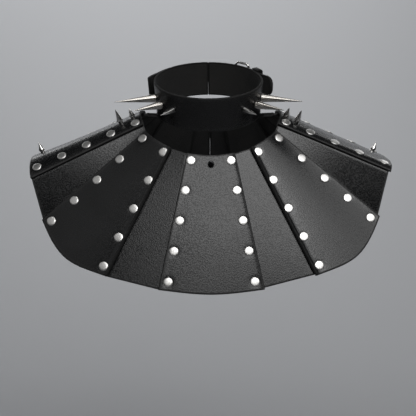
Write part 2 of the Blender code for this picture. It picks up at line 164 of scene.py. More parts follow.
def flat_point(line, share):
    """A place on the mantle by rib line and share of the way down, before any bow."""
    row = math.floor(line)
    rows = [section_ends(row + step) for step in (-1, 0, 1, 2)]
    neck = smooth_between(*[ends[0] for ends in rows], line - row)
    hem = smooth_between(*[ends[1] for ends in rows], line - row)
    return neck.lerp(hem, share)


def bow_at(line, share):
    """How far a rib bulges between its two ends."""
    row = math.floor(line)
    here = section_at(row).bow
    bow = here + (section_at(row + 1).bow - here) * (line - row)
    return PANEL_BOW * bow * 4 * share * (1 - share)


def along_hem(line, share):
    ahead = flat_point(line + LINE_STEP, share)
    behind = flat_point(line - LINE_STEP, share)
    return (ahead - behind) / (2 * LINE_STEP)


def outward(line, share):
    """The direction that points out of the mantle."""
    down = flat_point(line, 1.0) - flat_point(line, 0.0)
    return down.cross(along_hem(line, share)).normalized()


def mantle_point(line, share, lift):
    """A place at a height above the leather's inner side."""
    return flat_point(line, share) + outward(line, share) * (bow_at(line, share) + lift)


def beside(line, way, share):
    """The line where a seam's strip ends, inside the outer panel that lies that way of it."""
    overlap = SEAM_AT_NECK + (SEAM_AT_HEM - SEAM_AT_NECK) * share
    step = flat_point(line + way * LINE_STEP, share) - flat_point(line, share)
    return line + way * min(overlap / step.length * LINE_STEP, WIDEST_STRIP)


def ruling_length(line):
    return (flat_point(line, 1.0) - flat_point(line, 0.0)).length


def side_name(side):
    return "l" if side > 0 else "r"


# Where the rivets go: one row along each long edge of every outer panel, so each seam is clamped.
# A set rivet pulls the leather in round its cap, and that dimple shows in the satin surface.
RIVETS_PER_EDGE = 5
RIVET_FROM_NECK = 0.0080
RIVET_FROM_HEM = 0.0090
DIMPLE_DEPTH = 0.0004
DIMPLE_RADIUS = 0.0078
WAVE_HEIGHT = 0.00012
WAVES_PER_METRE = 22


def rivet_share(line, number):
    """How far down its row a rivet sits, counted from the neck."""
    length = ruling_length(line)
    run = length - RIVET_FROM_NECK - RIVET_FROM_HEM
    return (RIVET_FROM_NECK + run * (number - 1) / (RIVETS_PER_EDGE - 1)) / length


def frame_on(origin, outwards, along):
    """A frame whose Z points outwards and whose X follows along."""
    across = outwards.cross(along).normalized()
    straight = across.cross(outwards).normalized()
    columns = (straight, across, outwards, origin)
    return Matrix([[column[i] for column in columns] for i in range(3)] + [[0, 0, 0, 1]])


def rivet_frame(line, way, number):
    """A rivet's seat, halfway across the strip where two panels overlap."""
    share = rivet_share(line, number)
    middle = (line + beside(line, way, share)) / 2
    outwards = outward(middle, share)
    return frame_on(mantle_point(middle, share, LEATHER), outwards, along_hem(middle, share))


def rivet_row(line, way):
    return [rivet_frame(line, way, number) for number in range(1, RIVETS_PER_EDGE + 1)]


Panel = namedtuple("Panel", "name first last rivets curl")
panels = [
    Panel("front_panel", -FRONT_EDGE, FRONT_EDGE,
          rivet_row(-FRONT_EDGE, 1) + rivet_row(FRONT_EDGE, -1), (0.0007, 0.0007)),
]
for side in (1, -1):
    for name, near, far, near_curl in (
        ("side_panel_", SIDE_INNER, SIDE_OUTER, 0.0028),
        ("shoulder_panel_", SHOULDER_EDGE, SHOULDER_BACK, 0.0),
        ("back_side_panel_", BACK_OUTER, BACK_INNER, 0.0),
    ):
        rivets = rivet_row(side * near, side) + rivet_row(side * far, -side)
        curls = (near_curl, 0.0)
        lines = (side * near, side * far)
        panels.append(Panel(name + side_name(side), *lines[::side], rivets, curls[::side]))

BACK_SLIT = 0.0002
back_rivets = {}
for side in (1, -1):
    back_rivets[side] = rivet_row(side * BACK_EDGE, side)

rivet_frames = [place for panel in panels for place in panel.rivets]
rivet_frames += back_rivets[1] + back_rivets[-1]
rivet_map = kdtree.KDTree(len(rivet_frames))
for number, place in enumerate(rivet_frames):
    rivet_map.insert(place.translation, number)
rivet_map.balance()


def give_of_leather(point):
    """How far the leather stands off the smooth form: slow waves, and a dimple at each rivet."""
    wave = WAVE_HEIGHT * noise.noise(point * WAVES_PER_METRE)
    distance = rivet_map.find(point)[2]
    if distance > DIMPLE_RADIUS:
        return wave
    near = distance / DIMPLE_RADIUS
    return wave - DIMPLE_DEPTH * (1 - near * near) ** 2


# Leather: black dyed cowhide with a satin finish over a fine grain. A burnished band, nearly
# black, follows each cut edge, its darkness partly the edge's own colour and partly painted
# shade, with a painted highlight line beyond it: a lighter colour for the rounded edge catching
# the light. The flesh side is a dull nap.
GRAIN_DRIFT_SCALE = 0.35
GRAIN_DRIFT = 0.0012
GRAIN_SMOOTHNESS = 0.35
CREASE_FROM, CREASE_TO = 0.30, 0.75
PATCHES_PER_METRE = 26.0
SCUFFS_PER_METRE = (240.0, 1500.0, 900.0)
SCUFF_TURN = (0.3, 0.2, 0.9)
SCUFF_FROM, SCUFF_TO = 0.66, 0.90
SCUFFED_FROM, SCUFFED_TO = 0.50, 0.68


def new_group(name, inputs, outputs):
    """An empty node group with float or vector inputs and float outputs."""
    group = bpy.data.node_groups.new(name, "ShaderNodeTree")
    for socket, kind in inputs:
        group.interface.new_socket(socket, in_out="INPUT", socket_type=kind)
    for socket in outputs:
        group.interface.new_socket(socket, in_out="OUTPUT", socket_type="NodeSocketFloat")
    return group, group.nodes.new("NodeGroupInput"), group.nodes.new("NodeGroupOutput")


def add_node(tree, kind, values=(), **options):
    """A node with its options, and its input values by socket name or number."""
    node = tree.nodes.new("ShaderNode" + kind)
    for option, value in options.items():
        setattr(node, option, value)
    for socket, value in dict(values).items():
        node.inputs[socket].default_value = value
    return node


def calculate(tree, operation, first, second):
    """A sum, product or other step on two sockets or numbers."""
    node = add_node(tree, "Math", operation=operation)
    for number, term in enumerate((first, second)):
        if isinstance(term, (int, float)):
            node.inputs[number].default_value = term
        else:
            tree.links.new(term, node.inputs[number])
    return node.outputs[0]


def remap(tree, value, low, high, new_low, new_high):
    """A value eased from one range to another."""
    limits = {1: low, 2: high, 3: new_low, 4: new_high}
    node = add_node(tree, "MapRange", limits, interpolation_type="SMOOTHSTEP")
    tree.links.new(value, node.inputs[0])
    return node.outputs[0]


def blend_colours(tree, mask, first, second):
    """Two colours mixed by a mask. Either may be a socket or a colour."""
    node = add_node(tree, "Mix", data_type="RGBA")
    tree.links.new(mask, node.inputs[0])
    for number, colour in ((6, first), (7, second)):
        if isinstance(colour, tuple):
            node.inputs[number].default_value = (*colour, 1.0)
        else:
            tree.links.new(colour, node.inputs[number])
    return node.outputs[2]


def use_group(tree, group, links, values=()):
    """A shared effect, with its links and values by socket name."""
    node = tree.nodes.new("ShaderNodeGroup")
    node.node_tree = group
    for socket, source in links.items():
        tree.links.new(source, node.inputs[socket])
    for socket, value in dict(values).items():
        node.inputs[socket].default_value = value
    return node


def grain_group():
    """Pebbled grain: rounded cells of unlike size, with a crease round each one."""
    group, given, result = new_group(
        "leather_grain",
        (("Vector", "NodeSocketVector"), ("Cells per metre", "NodeSocketFloat")),
        ("Height", "Crease"),
    )
    drift = add_node(group, "TexNoise", {"Detail": 2.0})
    group.links.new(given.outputs["Vector"], drift.inputs["Vector"])
    drift_scale = calculate(group, "MULTIPLY", given.outputs["Cells per metre"], GRAIN_DRIFT_SCALE)
    group.links.new(drift_scale, drift.inputs["Scale"])
    shift = add_node(group, "VectorMath", operation="SCALE", values={"Scale": GRAIN_DRIFT})
    group.links.new(drift.outputs["Color"], shift.inputs[0])
    moved = add_node(group, "VectorMath", operation="ADD")
    group.links.new(given.outputs["Vector"], moved.inputs[0])
    group.links.new(shift.outputs[0], moved.inputs[1])
    cells = add_node(
        group, "TexVoronoi", feature="SMOOTH_F1", values={"Smoothness": GRAIN_SMOOTHNESS}
    )
    group.links.new(moved.outputs[0], cells.inputs["Vector"])
    group.links.new(given.outputs["Cells per metre"], cells.inputs["Scale"])
    crease = remap(group, cells.outputs["Distance"], CREASE_FROM, CREASE_TO, 0.0, 1.0)
    height = calculate(group, "SUBTRACT", 1.0, crease)
    group.links.new(height, result.inputs["Height"])
    group.links.new(crease, result.inputs["Crease"])
    return group


def handling_group():
    """What handling leaves: broad dull and shiny areas, and short fine scuffs."""
    group, given, result = new_group(
        "handling_marks", (("Vector", "NodeSocketVector"),), ("Patches", "Scuffs")
    )
    broad = add_node(
        group, "TexNoise", {"Scale": PATCHES_PER_METRE, "Detail": 4.0, "Roughness": 0.55}
    )
    group.links.new(given.outputs["Vector"], broad.inputs["Vector"])
    stretched = add_node(
        group, "Mapping", {"Rotation": SCUFF_TURN, "Scale": SCUFFS_PER_METRE}
    )
    group.links.new(given.outputs["Vector"], stretched.inputs["Vector"])
    streaks = add_node(group, "TexNoise", {"Scale": 1.0, "Detail": 3.0})
    group.links.new(stretched.outputs[0], streaks.inputs["Vector"])
    fine = remap(group, streaks.outputs["Fac"], SCUFF_FROM, SCUFF_TO, 0.0, 1.0)
    gathered = remap(group, broad.outputs["Fac"], SCUFFED_FROM, SCUFFED_TO, 0.0, 1.0)
    group.links.new(broad.outputs["Fac"], result.inputs["Patches"])
    group.links.new(calculate(group, "MULTIPLY", fine, gathered), result.inputs["Scuffs"])
    return group


leather_grain = grain_group()
handling_marks = handling_group()

# A finish's edge value sets how strongly the painted highlight line, a lighter colour along the
# cut edges, is laid on.
LeatherFinish = namedtuple("LeatherFinish", "name dark light cells_per_metre grain roughness edge")
PANEL_FINISH = LeatherFinish(
    name="satin_black_leather", dark=(0.0055, 0.0057, 0.0060), light=(0.0090, 0.0093, 0.0097),
    cells_per_metre=700, grain=0.00002, roughness=0.225, edge=0.4,
)
# Finish of the cut edges' wall: its near-black colour is partly the burnished edge's own and
# partly painted shade, as if the edges lay in shadow.
EDGE_FINISH = LeatherFinish(
    name="burnished_edge", dark=(0.002, 0.002, 0.002), light=(0.004, 0.004, 0.004),
    cells_per_metre=420, grain=0.00006, roughness=0.50, edge=0.0,
)
FLESH_FINISH = LeatherFinish(
    name="flesh_side", dark=(0.010, 0.010, 0.010), light=(0.019, 0.018, 0.017),
    cells_per_metre=2400, grain=0.00025, roughness=0.88, edge=0.0,
)
EDGE_BAND = 0.0019
BAND_FULL_TO = 0.7
# Painted highlight: a lighter line just beyond the dark edge band, standing in for the rounded
# edge catching the light.
EDGE_HIGHLIGHT_OUT_TO = 2.5
PAINTED_EDGE_HIGHLIGHT = (0.022, 0.022, 0.022)
# Near-black band on the face along each cut edge: partly burnished edge colour, partly painted
# shade.
BURNISHED_BAND_AND_PAINTED_SHADE = (0.0015, 0.0015, 0.0015)
CREASE_DARKENING = 0.30
DULLER_PATCHES = 0.035
DULLER_BAND = 0.30
DULLER_CREASES = 0.13
DULLER_SCUFFS = 0.03
DULLER_ON_AVERAGE = 0.06


def leather_material(finish):
    """Grained leather. Its edge_distance attribute says how far each place is from a cut edge."""
    material = bpy.data.materials.new(finish.name)
    material.use_nodes = True
    tree = material.node_tree
    shader = tree.nodes["Principled BSDF"]
    where = add_node(tree, "TexCoord").outputs["Object"]
    grain = use_group(
        tree, leather_grain, {"Vector": where}, {"Cells per metre": finish.cells_per_metre}
    )
    marks = use_group(tree, handling_marks, {"Vector": where})
    tone = remap(tree, marks.outputs["Patches"], 0.3, 0.7, 0.0, 1.0)
    colour = blend_colours(tree, tone, finish.dark, finish.light)
    distance = add_node(tree, "Attribute", attribute_name="edge_distance").outputs["Fac"]
    band = remap(tree, distance, EDGE_BAND * BAND_FULL_TO, EDGE_BAND, 1.0, 0.0)
    # Painted highlight line beyond the dark band, as strong as the finish's edge value.
    up_to_edge_highlight = remap(tree, distance, EDGE_BAND, EDGE_BAND * EDGE_HIGHLIGHT_OUT_TO, 1.0, 0.0)
    edge_highlight = calculate(tree, "SUBTRACT", up_to_edge_highlight, band)
    edge_highlight = calculate(tree, "MULTIPLY", edge_highlight, finish.edge)
    colour = blend_colours(tree, edge_highlight, colour, PAINTED_EDGE_HIGHLIGHT)
    # The near-black edge band: partly burnished edge colour, partly painted shade.
    colour = blend_colours(tree, band, colour, BURNISHED_BAND_AND_PAINTED_SHADE)
    crease_mask = calculate(tree, "MULTIPLY", grain.outputs["Crease"], CREASE_DARKENING)
    colour = blend_colours(tree, crease_mask, colour, finish.dark)
    tree.links.new(colour, shader.inputs["Base Color"])
    rough = calculate(tree, "MULTIPLY", tone, DULLER_PATCHES)
    for mask, duller in (
        (band, DULLER_BAND),
        (grain.outputs["Crease"], DULLER_CREASES),
        (marks.outputs["Scuffs"], DULLER_SCUFFS),
    ):
        rough = calculate(tree, "ADD", rough, calculate(tree, "MULTIPLY", mask, duller))
    rough = calculate(tree, "ADD", rough, finish.roughness - DULLER_ON_AVERAGE)
    tree.links.new(rough, shader.inputs["Roughness"])
    bump = add_node(tree, "Bump", {"Strength": 1.0, "Distance": finish.grain})
    tree.links.new(grain.outputs["Height"], bump.inputs["Height"])
    tree.links.new(bump.outputs[0], shader.inputs["Normal"])
    return material


panel_leather = [leather_material(f) for f in (PANEL_FINISH, FLESH_FINISH, EDGE_FINISH)]

# Cut and laid leather: each panel is one flat cut of hide, laid over the form, with its edges
# rounded and burnished; their near-black colour is partly the edge's own and partly painted shade.
# Outer panels lie over the plain ones between them.
FACE_SIZE = 0.0019
FEWEST_FACES = 4
EDGE_ROUNDING = 0.0007
EDGE_STEPS = 3
EDGE_ANGLE = math.radians(50)
SMOOTH_ANGLE = math.radians(40)
CURL_REACH = 0.006
WIDTH_STEPS = 8


def thicken(piece, thickness, outwards, rounding, steps):
    """Gives a leather surface its wall, with a flesh side and rounded, burnished cut edges,
    darkened partly with painted shade.
    """
    wall = piece.modifiers.new("wall", "SOLIDIFY")
    wall.thickness = thickness
    wall.offset = outwards
    wall.use_even_offset = True
    wall.material_offset = 1
    wall.material_offset_rim = 2
    bpy.ops.object.modifier_apply(modifier=wall.name)
    rounded = piece.modifiers.new("rounded_edges", "BEVEL")
    rounded.width = rounding
    rounded.segments = steps
    rounded.limit_method = "ANGLE"
    rounded.angle_limit = EDGE_ANGLE
    bpy.ops.object.modifier_apply(modifier=rounded.name)
    bpy.ops.object.shade_smooth_by_angle(angle=SMOOTH_ANGLE)


def leather_sheet(name, place, across, down, outwards, rounding, finishes):
    """A flat grid laid by place(u, v), given its wall and rounded edges."""
    bpy.ops.object.select_all(action="DESELECT")
    bpy.ops.mesh.primitive_grid_add(x_subdivisions=across, y_subdivisions=down, size=1)
    sheet = bpy.context.object
    sheet.name = name
    distances = []
    for corner in sheet.data.vertices:
        corner.co, distance = place(corner.co.x + 0.5, 0.5 - corner.co.y)
        distances.append(distance)
    marks = sheet.data.attributes.new("edge_distance", "FLOAT", "POINT")
    marks.data.foreach_set("value", distances)
    for finish in finishes:
        sheet.data.materials.append(finish)
    thicken(sheet, LEATHER, outwards, rounding, EDGE_STEPS)
    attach(sheet, "root")
    return sheet


def faces_along(length):
    return max(FEWEST_FACES, round(length / FACE_SIZE))


def laid_on_mantle(line_at, lift, curl, short=0.0):
    """Lays a cut on the mantle: line_at gives the rib line for a place across, at a share down."""
    def place(u, v):
        line = line_at(u, v)
        length = ruling_length(line)
        share = v * (1 - short / length)
        bare = mantle_point(line, share, 0.0)
        width = (mantle_point(line_at(1, v), v, 0.0) - mantle_point(line_at(0, v), v, 0.0)).length
        from_first = u * width
        from_last = (1 - u) * width
        raised = lift + give_of_leather(bare + outward(line, share) * LEATHER)
        for height, away in zip(curl, (from_first, from_last)):
            raised += height * max(0.0, 1 - away / CURL_REACH) ** 2
        point = bare + outward(line, share) * raised
        return point, min(from_first, from_last, v * length, (1 - v) * length)
    return place


for panel in panels:
    def over_line(u, v):
        return panel.first + (panel.last - panel.first) * u

    hem_points = [flat_point(over_line(i / WIDTH_STEPS, 1), 1) for i in range(WIDTH_STEPS + 1)]
    width = sum((end - start).length for start, end in zip(hem_points, hem_points[1:]))
    sheet = leather_sheet(
        panel.name + "_leather",
        laid_on_mantle(over_line, 0.0, panel.curl),
        faces_along(width),
        faces_along(ruling_length(panel.first)),
        1,
        EDGE_ROUNDING,
        panel_leather,
    )
    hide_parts(panel.name)

# The middle of the back: two half panels that meet at an open slit, riveted like the others along
# their outer edge only.
for side in (1, -1):
    def half_line(u, v):
        half_slit = 0.5 * BACK_SLIT / along_hem(BACK_CENTRE, v).length
        ends = (side * BACK_EDGE, side * (BACK_CENTRE - half_slit))[::side]
        return ends[0] + (ends[1] - ends[0]) * u

    half_width = (flat_point(half_line(0, 1), 1) - flat_point(half_line(1, 1), 1)).length
    sheet = leather_sheet(
        f"back_panel_{side_name(side)}_leather",
        laid_on_mantle(half_line, 0.0, (0.0, 0.0)),
        faces_along(half_width),
        faces_along(ruling_length(BACK_EDGE)),
        1,
        EDGE_ROUNDING,
        panel_leather,
    )
    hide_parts("back_panel_" + side_name(side))

# Under panels: plain cuts of the same hide that fill the gaps of the fan. They reach under both
# of their neighbours as far as the rivets need, lie flat in between, and stop short of the hem.
UNDER_SHORT_LEFT = 0.0022
UNDER_SHORT_RIGHT = 0.0007
Under = namedtuple("Under", "name near far")
UNDER_PANELS = (
    Under("front_gusset_", FRONT_EDGE, SIDE_INNER),
    Under("shoulder_front_gusset_", SIDE_OUTER, SHOULDER_EDGE),
    Under("shoulder_back_gusset_", SHOULDER_BACK, BACK_OUTER),
    Under("back_gusset_", BACK_INNER, BACK_EDGE),
)
for side, short in ((1, UNDER_SHORT_LEFT), (-1, UNDER_SHORT_RIGHT)):
    for under in UNDER_PANELS:
        first, last = sorted((side * under.near, side * under.far))

        def under_line(u, v):
            start = beside(first, -1, v)
            return start + (beside(last, 1, v) - start) * u

        laid = laid_on_mantle(under_line, -LAYER_GAP, (0.0, 0.0), short)

        def flat_place(u, v):
            """Flat from seam to seam, and on the mantle's form under both neighbours."""
            point, from_edge = laid(u, v)
            line = under_line(u, v)
            if not first < line < last:
                return point, from_edge
            share = v * (1 - short / ruling_length(line))
            seams = [mantle_point(seam, share, -LAYER_GAP) for seam in (first, last)]
            return seams[0].lerp(seams[1], (line - first) / (last - first)), from_edge

        width = (flat_point(under_line(0, 1), 1) - flat_point(under_line(1, 1), 1)).length
        sheet = leather_sheet(
            under.name + side_name(side) + "_leather",
            flat_place,
            faces_along(width),
            faces_along(ruling_length(first)),
            -1,
            EDGE_ROUNDING,
            panel_leather,
        )
        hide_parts(under.name + side_name(side))

# Rivets: double-cap rivets plated with nickel, 10 mm across, with a nearly flat crown and a
# rounded rim that sits in the dimple of the leather. Wear has taken the mirror off them.
Ring = namedtuple("Ring", "radius height")
RIVET_CAP = (
    Ring(0.0045, -0.0006),
    Ring(0.0049, -0.0001),
    Ring(0.0050, 0.0003),
    Ring(0.00495, 0.0006),
    Ring(0.0048, 0.00086),
    Ring(0.0045, 0.00108),
    Ring(0.0040, 0.00122),
    Ring(0.0030, 0.00132),
    Ring(0.0016, 0.00138),
    Ring(0.0004, 0.00140),
)
RIVET_SIDES = 32
NICKEL_COLOUR = (0.80, 0.79, 0.77)
NICKEL_TARNISH = (0.52, 0.50, 0.47)
RIVET_ROUGHNESS = 0.36
HAZE_PER_METRE = 420.0
TARNISH_FROM, TARNISH_TO, TARNISH_AT_MOST = 0.52, 0.80, 0.5
DULLER_HAZE = 0.14
DULLER_HAIRLINES = 0.10
HAZE_STRENGTH = 0.4
HAZE_HEIGHT = 0.00002
METAL_SMOOTH_ANGLE = math.radians(50)


def nickel_material(name, colour, tarnish, roughness):
    """Polished plated metal with a faint haze and hairline marks."""
    material = bpy.data.materials.new(name)
    material.use_nodes = True
    tree = material.node_tree
    shader = tree.nodes["Principled BSDF"]
    shader.inputs["Metallic"].default_value = 1.0
    where = add_node(tree, "TexCoord").outputs["Object"]
    marks = use_group(tree, handling_marks, {"Vector": where})
    haze = add_node(tree, "TexNoise", {"Scale": HAZE_PER_METRE, "Detail": 3.0})
    tree.links.new(where, haze.inputs["Vector"])
    dirt = remap(tree, haze.outputs["Fac"], TARNISH_FROM, TARNISH_TO, 0.0, TARNISH_AT_MOST)
    tree.links.new(blend_colours(tree, dirt, colour, tarnish), shader.inputs["Base Color"])
    spread = calculate(tree, "MULTIPLY", haze.outputs["Fac"], DULLER_HAZE)
    lines = calculate(tree, "MULTIPLY", marks.outputs["Scuffs"], DULLER_HAIRLINES)
    rough = calculate(tree, "ADD", spread, lines)
    rough = calculate(tree, "ADD", rough, roughness - DULLER_HAZE / 2)
    tree.links.new(rough, shader.inputs["Roughness"])
    bump = add_node(tree, "Bump", {"Strength": HAZE_STRENGTH, "Distance": HAZE_HEIGHT})
    tree.links.new(haze.outputs["Fac"], bump.inputs["Height"])
    tree.links.new(bump.outputs[0], shader.inputs["Normal"])
    return material


rivet_nickel = nickel_material(
    "rivet_nickel_plate", NICKEL_COLOUR, NICKEL_TARNISH, RIVET_ROUGHNESS
)


def turned(name, sides, profile, finish):
    """A turned part: a disc drawn out ring by ring along its profile, with Z as its axis."""
    bpy.ops.object.select_all(action="DESELECT")
    bpy.ops.mesh.primitive_circle_add(
        vertices=sides, radius=profile[0].radius, fill_type="NGON",
        location=(0, 0, profile[0].height),
    )
    part = bpy.context.object
    part.name = name
    bpy.ops.object.transform_apply(location=True)
    bpy.ops.object.mode_set(mode="EDIT")
    bpy.ops.mesh.select_all(action="SELECT")
    for before, after in zip(profile, profile[1:]):
        rise = (0, 0, after.height - before.height)
        bpy.ops.mesh.extrude_region_move(TRANSFORM_OT_translate={"value": rise})
        narrowing = after.radius / before.radius
        bpy.ops.transform.resize(value=(narrowing, narrowing, 1))
    bpy.ops.mesh.select_all(action="SELECT")
    bpy.ops.mesh.normals_make_consistent(inside=False)
    bpy.ops.object.mode_set(mode="OBJECT")
    bpy.ops.object.shade_smooth_by_angle(angle=METAL_SMOOTH_ANGLE)
    part.data.materials.append(finish)
    return part


def set_copies(name, model, places):
    """Copies of a model set at each place, as one piece that rides on the gorget."""
    bpy.ops.object.select_all(action="DESELECT")
    copies = []
    for place in places:
        copy = model.copy()
        copy.data = model.data.copy()
        copy.data.transform(place)
        bpy.context.collection.objects.link(copy)
        copy.select_set(True)
        copies.append(copy)
    bpy.context.view_layer.objects.active = copies[0]
    if len(copies) > 1:
        bpy.ops.object.join()
    piece = bpy.context.object
    piece.name = name
    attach(piece, "root")
    return piece


def pulled_in(places):
    """Rivet places sunk into their dimples."""
    seats = []
    for place in places:
        out = place.to_3x3() @ Vector((0, 0, 1))
        seats.append(Matrix.Translation(out * give_of_leather(place.translation)) @ place)
    return seats


rivet = turned("rivet_model", RIVET_SIDES, RIVET_CAP, rivet_nickel)
for panel in panels:
    caps = set_copies(panel.name + "_rivets", rivet, pulled_in(panel.rivets))
for side in (1, -1):
    caps = set_copies(f"back_panel_{side_name(side)}_rivets", rivet, pulled_in(back_rivets[side]))
bpy.data.objects.remove(rivet)

# Small spikes: screwed through the leather, three on each shoulder and one at the throat whose
# nickel is painted dark, painted shade on a spike like the others. Each stands on a short waist
# and swells before it runs out to its point.
SPIKE_RADIUS = 0.0035
SPIKE_SIDES = 32
POLISHED_ROUGHNESS = 0.17
# Painted shade: the throat spike's nickel darkened to stand in for its shaded look.
THROAT_SPIKE_PAINTED_SHADE = (0.10, 0.10, 0.11)
THROAT_SPIKE_SHADED_TARNISH = (0.05, 0.05, 0.05)
THROAT_SPIKE_ROUGHNESS = 0.24
MantleSpike = namedtuple("MantleSpike", "name line edge away height")
SHOULDER_SPIKES = (
    MantleSpike("shoulder_spike_neck_r", -7.15, "neck", 0.009, 0.0115),
    MantleSpike("shoulder_spike_inner_r", -7.05, "neck", 0.023, 0.0175),
    MantleSpike("shoulder_spike_outer_r", -7.7, "hem", 0.010, 0.0115),
    MantleSpike("shoulder_spike_neck_l", 7.05, "neck", 0.006, 0.0115),
    MantleSpike("shoulder_spike_inner_l", 6.95, "neck", 0.019, 0.0155),
    MantleSpike("shoulder_spike_outer_l", 8.8, "hem", 0.014, 0.0105),
)
FRONT_SPIKE = MantleSpike("front_spike", 0, "neck", 0.010, 0.013)
SPIKE_SHAPE = (
    Ring(0.72, -0.08),
    Ring(0.70, 0.10),
    Ring(0.74, 0.17),
    Ring(0.92, 0.22),
    Ring(0.95, 0.26),
    Ring(0.86, 0.34),
    Ring(0.62, 0.54),
    Ring(0.35, 0.77),
    Ring(0.10, 0.97),
    Ring(0.03, 1.00),
)


def sized_profile(shape, radius, height):
    """A profile given in shares of the radius and height, at full size."""
    return [Ring(ring.radius * radius, ring.height * height) for ring in shape]


def mantle_spike(spike, finish):
    """Turns a spike and stands it on the mantle, at its distance from the neck or hem."""
    away = spike.away / ruling_length(spike.line)
    share = away if spike.edge == "neck" else 1 - away
    foot = mantle_point(spike.line, share, LEATHER)
    give = give_of_leather(foot)
    outwards = outward(spike.line, share)
    place = frame_on(foot + outwards * give, outwards, along_hem(spike.line, share))
    profile = sized_profile(SPIKE_SHAPE, SPIKE_RADIUS, spike.height)
    model = turned("spike_model", SPIKE_SIDES, profile, finish)
    piece = set_copies(spike.name + "_metal", model, [place])
    bpy.data.objects.remove(model)
    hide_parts(spike.name)


polished_nickel = nickel_material(
    "polished_nickel_plate", NICKEL_COLOUR, NICKEL_TARNISH, POLISHED_ROUGHNESS
)
shaded_throat_nickel = nickel_material(
    "dark_nickel_plate", THROAT_SPIKE_PAINTED_SHADE, THROAT_SPIKE_SHADED_TARNISH, THROAT_SPIKE_ROUGHNESS
)
for spike in SHOULDER_SPIKES:
    mantle_spike(spike, polished_nickel)
# The throat spike gets the nickel darkened with painted shade.
mantle_spike(FRONT_SPIKE, shaded_throat_nickel)

# Back closure: two short straps across the slit, each with a plain nickel buckle set on it.
CLOSURE_HALF_LENGTH = 0.030
CLOSURE_WIDTH = 0.017
CLOSURE_CLEARANCE = 0.0008
CLOSURE_GRID = (40, 12)
CLOSURE_TIP_FLAT = 0.02
Closure = namedtuple("Closure", "name after_rivet")
CLOSURES = (Closure("upper", 1), Closure("lower", 4))
# Its edge value lays the painted highlight line along the strap's cut edges.
STRAP_FINISH = LeatherFinish(
    name="black_strap_leather", dark=(0.002, 0.002, 0.0022), light=(0.004, 0.004, 0.0044),
    cells_per_metre=1250, grain=0.00003, roughness=0.27, edge=0.3,
)
STRAP_EDGE_ROUNDING = 0.0009
strap_leather = [leather_material(STRAP_FINISH), *panel_leather[1:]]

BUCKLE_BAR = 0.003
BUCKLE_LENGTH = 0.020
BUCKLE_SIDE_ROOM = 0.001
BUCKLE_THICKNESS = 0.0025
BUCKLE_CORNER = 0.004
BUCKLE_CORNER_STEPS = 6
BUCKLE_BAR_STEPS = 4
PRONG_RADIUS = 0.00105
PRONG_SIDES = 16
PRONG_HEIGHT = 0.002375
PRONG_SHIFT = 0.0004
PRONG_ROUNDING = 0.00075
PRONG_ROUNDING_STEPS = 3


def wire_buckle(name, strap_width, place):
    """A buckle bent from round bar, with a prong that lies across it."""
    bpy.ops.object.select_all(action="DESELECT")
    across = strap_width + 2 * BUCKLE_SIDE_ROOM + BUCKLE_BAR
    bpy.ops.mesh.primitive_plane_add(size=1, location=(0, 0, BUCKLE_THICKNESS / 2))
    ring = bpy.context.object
    ring.scale = (BUCKLE_LENGTH - BUCKLE_BAR, across, 1)
    bpy.ops.object.transform_apply(location=True, scale=True)
    bpy.ops.object.mode_set(mode="EDIT")
    bpy.ops.mesh.select_all(action="SELECT")
    bpy.ops.mesh.bevel(offset=BUCKLE_CORNER, segments=BUCKLE_CORNER_STEPS, affect="VERTICES")
    bpy.ops.mesh.select_all(action="SELECT")
    bpy.ops.mesh.delete(type="ONLY_FACE")
    bpy.ops.object.mode_set(mode="OBJECT")
    bpy.ops.object.convert(target="CURVE")
    ring.data.bevel_depth = BUCKLE_THICKNESS / 2
    ring.data.bevel_resolution = BUCKLE_BAR_STEPS
    bpy.ops.object.convert(target="MESH")
    bpy.ops.mesh.primitive_cylinder_add(
        vertices=PRONG_SIDES, radius=PRONG_RADIUS, depth=BUCKLE_LENGTH,
        rotation=(0, math.pi / 2, 0), location=(PRONG_SHIFT, 0, PRONG_HEIGHT),
    )
    prong = bpy.context.object
    bevel = prong.modifiers.new("rounded_tip", "BEVEL")
    bevel.width = PRONG_ROUNDING
    bevel.segments = PRONG_ROUNDING_STEPS
    bpy.ops.object.modifier_apply(modifier=bevel.name)
    bpy.ops.object.transform_apply(location=True, rotation=True)
    ring.select_set(True)
    bpy.context.view_layer.objects.active = ring
    bpy.ops.object.join()
    ring.name = name + "_metal"
    ring.data.materials.clear()
    ring.data.materials.append(polished_nickel)
    ring.data.transform(place)
    bpy.ops.object.shade_smooth_by_angle(angle=METAL_SMOOTH_ANGLE)
    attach(ring, "root")
    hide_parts(name)


def surface_frame(line, share, lift):
    return frame_on(mantle_point(line, share, lift), outward(line, share), along_hem(line, share))


closure_length = ruling_length(BACK_CENTRE)
for closure in CLOSURES:
    middle = rivet_share(BACK_EDGE, closure.after_rivet + 0.5)

    def closure_place(u, v):
        from_end = min(u, 1 - u) * 2 * CLOSURE_HALF_LENGTH
        corner = max(0.0, 1 - from_end / (CLOSURE_WIDTH / 2))
        half = CLOSURE_WIDTH / 2 * math.sqrt(max(1 - corner ** 2, CLOSURE_TIP_FLAT))
        share = middle + (2 * v - 1) * half / closure_length
        reach = CLOSURE_HALF_LENGTH / along_hem(BACK_CENTRE, share).length
        line = BACK_CENTRE + (2 * u - 1) * reach
        point = mantle_point(line, share, LEATHER + CLOSURE_CLEARANCE)
        return point, min(from_end, half * (1 - abs(2 * v - 1)))

    strap = leather_sheet(
        f"back_strap_{closure.name}_leather",
        closure_place,
        *CLOSURE_GRID,
        1,
        STRAP_EDGE_ROUNDING,
        strap_leather,
    )
    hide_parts("back_strap_" + closure.name)
    lift = 2 * LEATHER + 2 * CLOSURE_CLEARANCE
    seat = surface_frame(BACK_CENTRE, middle, lift)
    wire_buckle("back_buckle_" + closure.name, CLOSURE_WIDTH, seat)

